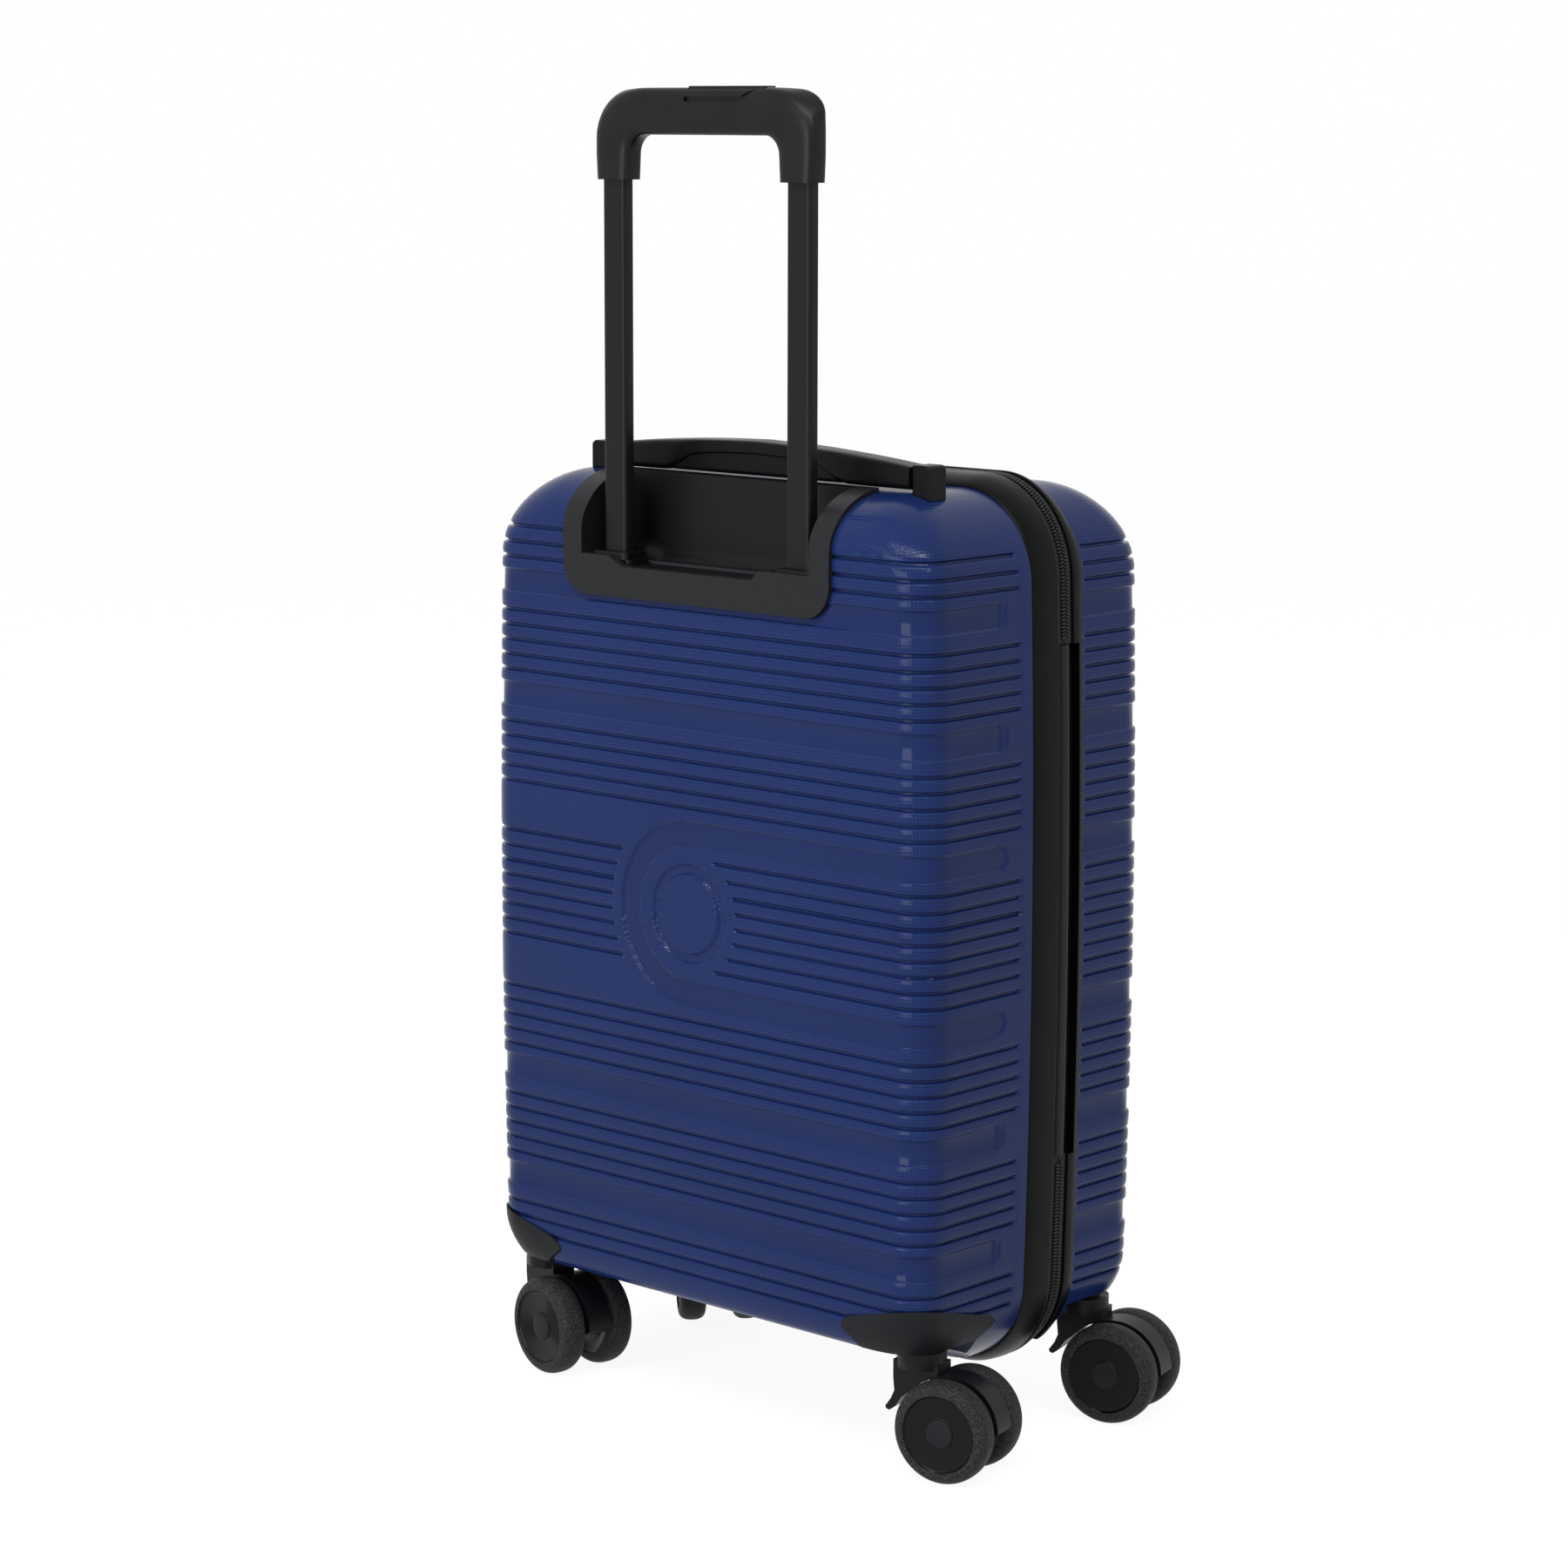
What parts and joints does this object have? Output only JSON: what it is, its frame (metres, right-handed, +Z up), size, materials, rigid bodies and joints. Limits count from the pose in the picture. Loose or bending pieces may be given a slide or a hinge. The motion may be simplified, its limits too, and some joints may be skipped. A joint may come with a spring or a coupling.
{
  "type": "hard shell suitcase on wheels",
  "caption": "Hard shell cabin suitcase that opens on a side hinge, with twin-wheel swivel casters, a telescopic trolley handle, sprung carry handles and a dial lock.",
  "frame": {"origin": "on the floor under the casters, in the middle of the case's width and halfway between its two faces", "axes": "+Z up, +Y out of the trolley face, +X towards the side that opens, where the lock and the side handle are"},
  "size_m": [0.3834, 0.206, 0.7318],
  "materials": {
    "shell_blue": "navy blue moulded shell, fine diamond texture with smooth glossy bands",
    "hinge_strip": "smooth black strip",
    "black_plastic": "satin black moulded plastic",
    "lock_black": "smooth black plastic",
    "zip_tape": "woven black tape",
    "zip_coil": "black nylon coil",
    "lining_cloth": "thin grey woven lining",
    "webbing": "black woven webbing",
    "tube_black": "satin black lacquer on aluminium",
    "zip_metal": "dark plated metal",
    "button_grey": "dark grey satin plastic",
    "dial_metal": "grey satin plastic",
    "steel": "bright steel",
    "tyre_black": "matt grainy black rubber",
    "hub_plastic": "turned glossy black plastic"
  },
  "bodies": {
    "back_case": {"back_shell": "shell_blue", "back_rim": "black_plastic", "back_zip_tape": "zip_tape", "back_zip_chain": "zip_coil", "hinge_flap": "hinge_strip", "back_corner_housings": "black_plastic", "back_lining": "lining_cloth", "back_panel": "lining_cloth", "back_straps": "webbing", "strap_buckles": "black_plastic", "trolley_cup": "black_plastic", "tube_collars": "black_plastic", "outer_tubes": "tube_black", "tube_feet": "black_plastic", "top_handle_brackets": "black_plastic", "side_handle_brackets": "black_plastic", "lock_case": "lock_black", "zip_sliders": "zip_metal"},
    "front_case": {"front_shell": "shell_blue", "front_rim": "black_plastic", "front_zip_tape": "zip_tape", "front_zip_chain": "zip_coil", "front_corner_housings": "black_plastic", "front_lining": "lining_cloth"},
    "middle_stage": {"middle_tubes": "tube_black", "middle_caps": "black_plastic"},
    "inner_stage": {"inner_tubes": "tube_black", "grip": "black_plastic"},
    "trolley_button": {"grip_button": "button_grey", "lock_rods": "steel"},
    "top_carry_handle": {"top_handle": "black_plastic"},
    "side_carry_handle": {"side_handle": "black_plastic"},
    "dial_1": {"lock_dial_1": "dial_metal"},
    "dial_2": {"lock_dial_2": "dial_metal"},
    "dial_3": {"lock_dial_3": "dial_metal"},
    "lock_release": {"lock_slide": "button_grey"},
    "pull_1": {"zip_pull_1": "zip_metal"},
    "pull_2": {"zip_pull_2": "zip_metal"},
    "swivel_1": {"fork_1": "black_plastic", "stem_1": "steel"},
    "wheels_1": {"tyres_1": "tyre_black", "hubs_1": "hub_plastic", "axle_1": "steel"},
    "swivel_2": {"fork_2": "black_plastic", "stem_2": "steel"},
    "wheels_2": {"tyres_2": "tyre_black", "hubs_2": "hub_plastic", "axle_2": "steel"},
    "swivel_3": {"fork_3": "black_plastic", "stem_3": "steel"},
    "wheels_3": {"tyres_3": "tyre_black", "hubs_3": "hub_plastic", "axle_3": "steel"},
    "swivel_4": {"fork_4": "black_plastic", "stem_4": "steel"},
    "wheels_4": {"tyres_4": "tyre_black", "hubs_4": "hub_plastic", "axle_4": "steel"}
  },
  "joints": [
    {"name": "case_hinge", "type": "hinge", "parent": "back_case", "child": "front_case", "pos_m": [-0.169, -0.02, 0.2825], "axis": [0, 0, -1], "range_deg": [0, 130]},
    {"name": "middle_tube_slide", "type": "slide", "parent": "back_case", "child": "middle_stage", "axis": [0, 0, 1], "range_m": [0, 0.24]},
    {"name": "inner_tube_slide", "type": "slide", "parent": "middle_stage", "child": "inner_stage", "axis": [0, 0, 1], "range_m": [-0.2015, 0]},
    {"name": "grip_button_press", "type": "slide", "parent": "inner_stage", "child": "trolley_button", "axis": [0, 0, -1], "range_m": [0, 0.003], "stiffness_N_per_m": 600, "springref_m": -0.004},
    {"name": "top_handle_lift", "type": "slide", "parent": "back_case", "child": "top_carry_handle", "axis": [0, 0, 1], "range_m": [0, 0.0075], "stiffness_N_per_m": 300, "springref_m": -0.004},
    {"name": "side_handle_lift", "type": "slide", "parent": "back_case", "child": "side_carry_handle", "axis": [1, 0, 0], "range_m": [0, 0.0075], "stiffness_N_per_m": 300, "springref_m": -0.004},
    {"name": "dial_1_turn", "type": "hinge", "parent": "back_case", "child": "dial_1", "pos_m": [0.1597, 0.026, 0.382], "axis": [0, 0, 1], "continuous": true},
    {"name": "dial_2_turn", "type": "hinge", "parent": "back_case", "child": "dial_2", "pos_m": [0.1597, 0.026, 0.39], "axis": [0, 0, 1], "continuous": true},
    {"name": "dial_3_turn", "type": "hinge", "parent": "back_case", "child": "dial_3", "pos_m": [0.1597, 0.026, 0.398], "axis": [0, 0, 1], "continuous": true},
    {"name": "lock_release_slide", "type": "slide", "parent": "back_case", "child": "lock_release", "axis": [0, 0, 1], "range_m": [0, 0.004], "stiffness_N_per_m": 300, "springref_m": -0.003},
    {"name": "zip_pull_1_swing", "type": "hinge", "parent": "back_case", "child": "pull_1", "pos_m": [0.1701, -0.02, 0.404], "axis": [0, 0, -1], "range_deg": [0, 170]},
    {"name": "zip_pull_2_swing", "type": "hinge", "parent": "back_case", "child": "pull_2", "pos_m": [0.1701, -0.02, 0.422], "axis": [0, 0, -1], "range_deg": [0, 170]},
    {"name": "caster_swivel_1", "type": "hinge", "parent": "back_case", "child": "swivel_1", "pos_m": [0.143, 0.068, 0.0665], "axis": [0, 0, 1], "continuous": true},
    {"name": "wheel_spin_1", "type": "hinge", "parent": "swivel_1", "child": "wheels_1", "pos_m": [0.12088, 0.0715, 0.028], "axis": [-0.1564, -0.9877, 0], "continuous": true},
    {"name": "caster_swivel_2", "type": "hinge", "parent": "back_case", "child": "swivel_2", "pos_m": [-0.143, 0.068, 0.0665], "axis": [0, 0, 1], "continuous": true},
    {"name": "wheel_spin_2", "type": "hinge", "parent": "swivel_2", "child": "wheels_2", "pos_m": [-0.16486, 0.06311, 0.028], "axis": [0.2181, -0.9759, 0], "continuous": true},
    {"name": "caster_swivel_3", "type": "hinge", "parent": "front_case", "child": "swivel_3", "pos_m": [-0.143, -0.071, 0.0665], "axis": [0, 0, 1], "continuous": true},
    {"name": "wheel_spin_3", "type": "hinge", "parent": "swivel_3", "child": "wheels_3", "pos_m": [-0.16464, -0.0768, 0.028], "axis": [0.2588, -0.9659, 0], "continuous": true},
    {"name": "caster_swivel_4", "type": "hinge", "parent": "front_case", "child": "swivel_4", "pos_m": [0.143, -0.071, 0.0665], "axis": [0, 0, 1], "continuous": true},
    {"name": "wheel_spin_4", "type": "hinge", "parent": "swivel_4", "child": "wheels_4", "pos_m": [0.12635, -0.05601, 0.028], "axis": [-0.6691, -0.7431, 0], "continuous": true}
  ]
}
